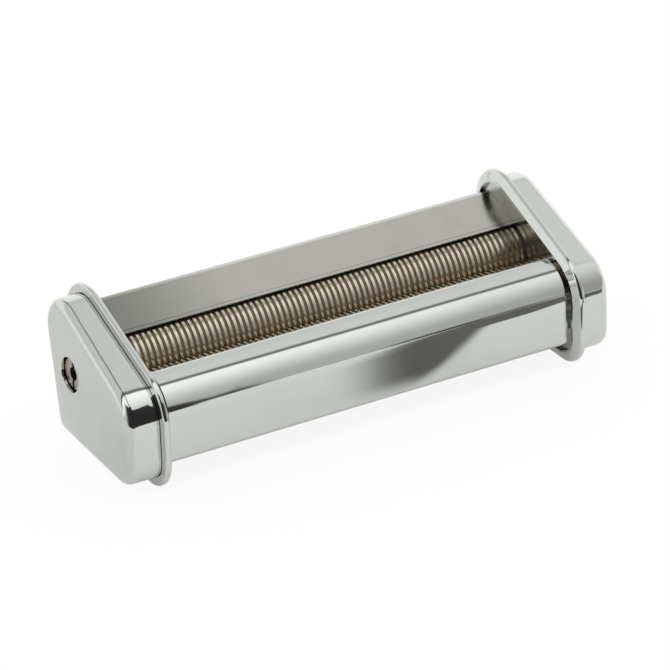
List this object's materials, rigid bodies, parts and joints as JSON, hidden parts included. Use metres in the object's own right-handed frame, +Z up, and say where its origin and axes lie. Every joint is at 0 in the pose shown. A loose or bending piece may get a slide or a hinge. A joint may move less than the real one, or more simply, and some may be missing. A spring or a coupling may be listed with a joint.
{
  "type": "pasta cutter attachment",
  "caption": "Clip-on pasta cutter head: meshing grooved rollers on geared axles with lifting combs, in a chromed housing of folded covers and rimmed end caps, driven by a hand crank.",
  "frame": {"origin": "centre of the footprint on the surface that the end cap rims stand on", "axes": "+X along the cutter rollers, away from the crank hole; +Y to the back, away from the front cover; +Z up"},
  "size_m": [0.1734, 0.061, 0.0497],
  "materials": {
    "bright_chrome": "mirror-bright chrome plate on drawn steel sheet",
    "satin_chrome": "satin chrome plate on folded steel sheet",
    "polished_plate": "polished plated steel",
    "turned_roller": "turned and plated, slightly warm metal",
    "axle_steel": "turned steel",
    "gear_steel": "cut steel, lightly oiled",
    "bush_bronze": "plain bearing bronze",
    "spring_steel": "dark spring steel",
    "zinc_steel": "zinc-plated steel",
    "comb_steel": "stamped stainless sheet"
  },
  "bodies": {
    "frame": {"left_end_cap": "bright_chrome", "right_end_cap": "bright_chrome", "front_cover": "bright_chrome", "rear_cover": "satin_chrome", "left_side_plate": "polished_plate", "right_side_plate": "polished_plate", "rear_left_bush": "bush_bronze", "rear_right_bush": "bush_bronze", "front_left_bush": "bush_bronze", "front_right_bush": "bush_bronze", "tie_rod_nuts": "zinc_steel", "rear_comb": "comb_steel", "front_comb": "comb_steel", "rear_tie_rod": "zinc_steel", "front_tie_rod": "zinc_steel", "lower_tie_rod": "zinc_steel"},
    "drive_cutter": {"drive_roller": "turned_roller", "drive_axle": "axle_steel", "drive_gear": "gear_steel", "drive_clips": "spring_steel"},
    "driven_cutter": {"driven_roller": "turned_roller", "driven_axle": "axle_steel", "driven_gear": "gear_steel", "driven_clips": "spring_steel"}
  },
  "joints": [
    {"name": "drive_spin", "type": "hinge", "parent": "frame", "child": "drive_cutter", "pos_m": [0, 0.01085, 0.0254], "axis": [1, 0, 0], "continuous": true},
    {"name": "driven_spin", "type": "hinge", "parent": "frame", "child": "driven_cutter", "pos_m": [0, -0.00607, 0.01924], "axis": [1, 0, 0], "continuous": true}
  ],
  "couplings": [
    {"joint": "driven_spin", "follows": "drive_spin", "ratio": -1}
  ]
}
